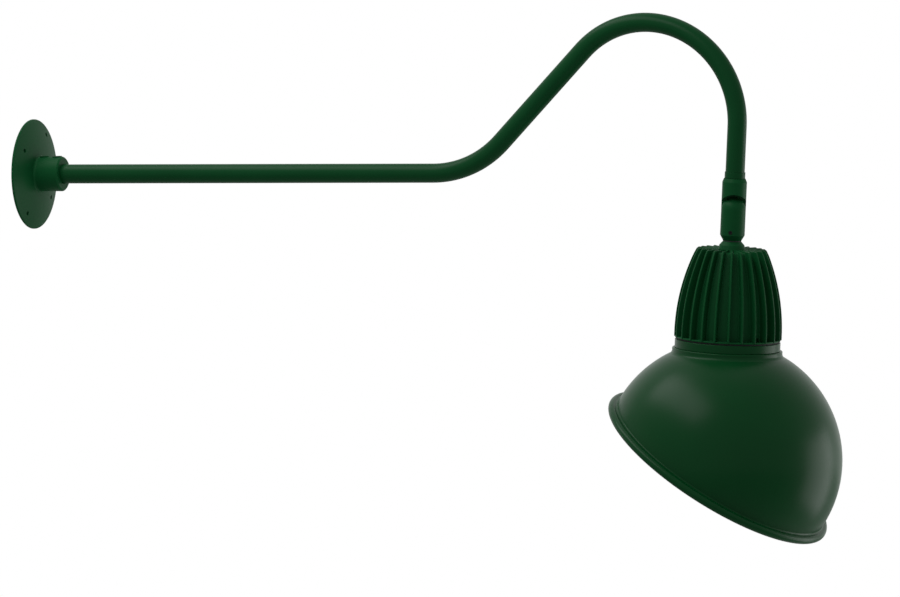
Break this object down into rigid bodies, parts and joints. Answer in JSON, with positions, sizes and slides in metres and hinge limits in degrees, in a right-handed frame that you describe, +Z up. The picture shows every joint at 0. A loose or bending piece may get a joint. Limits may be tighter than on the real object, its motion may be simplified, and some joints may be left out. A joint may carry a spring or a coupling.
{
  "type": "gooseneck wall light",
  "caption": "Outdoor wall light: a bent tube arm from a round plate carries a swivelling finned lamp housing under which a deep angled dome shade opens towards the wall",
  "frame": {"origin": "the centre of the wall plate's back face, on the axis of the arm's straight run and of the bolt circle", "axes": "+X runs out of the wall along the arm's straight run, +Z is up, +Y is across"},
  "size_m": [0.9514, 0.2794, 0.5864],
  "materials": {
    "paint": "gloss",
    "plate": "gloss",
    "housing": "gloss",
    "shade": "gloss",
    "frame": "satin",
    "reflector": "gloss",
    "plate_bare": "satin",
    "screw": "satin",
    "black_screw": "matte",
    "friction": "satin",
    "seal": "matte",
    "pad": "matte",
    "bushing": "satin",
    "live": "satin",
    "neutral": "satin",
    "ground": "satin",
    "dc": "satin",
    "driver": "satin",
    "board": "satin",
    "chip": "matte",
    "glass": "gloss"
  },
  "bodies": {
    "bracket": {"wall_plate": "plate", "wall_gasket": "seal", "hub_set_screws": "black_screw"},
    "arm": {"arm_tube": "paint", "arm_collar": "paint", "lead_bushing": "bushing", "arm_lead_live": "live", "arm_lead_neutral": "neutral", "arm_lead_ground": "ground"},
    "swivel": {"upper_knuckle": "paint", "swivel_set_screw": "black_screw", "swivel_o_ring": "seal"},
    "head": {"lower_knuckle": "paint", "pivot_screw": "screw", "pivot_spring_washer": "screw", "friction_washer": "friction", "pivot_seal": "seal", "knuckle_leads": "live", "neck_set_screw": "black_screw", "neck_nipple": "screw", "neck_gasket": "seal", "neck_locknut": "screw", "lamp_housing": "housing", "head_leads": "live", "led_driver": "driver", "driver_screws": "screw", "dc_leads": "dc", "engine_plate": "plate_bare", "thermal_pad": "pad", "led_board": "board", "led_chips": "chip", "board_screws": "screw", "ring_seal": "seal", "shade_ring": "paint", "clamp_screws": "screw", "reflector": "reflector", "lens": "glass", "lens_gasket": "seal", "lens_frame": "frame", "frame_screws": "screw", "shade": "shade"}
  },
  "joints": [
    {"name": "arm_turn", "type": "hinge", "parent": "bracket", "child": "arm", "pos_m": [0.023, 0, 0], "axis": [1, 0, 0], "range_deg": [-90, 90]},
    {"name": "head_turn", "type": "hinge", "parent": "arm", "child": "swivel", "pos_m": [0.84139, 0, -0.04064], "axis": [0.0802, 0, 0.9968], "range_deg": [-180, 180], "deforming": ["knuckle_leads"]},
    {"name": "head_tilt", "type": "hinge", "parent": "swivel", "child": "head", "pos_m": [0.84139, 0, -0.04064], "axis": [-0.3895, 0.9205, 0.0313], "range_deg": [-60, 60], "deforming": ["knuckle_leads"]}
  ]
}
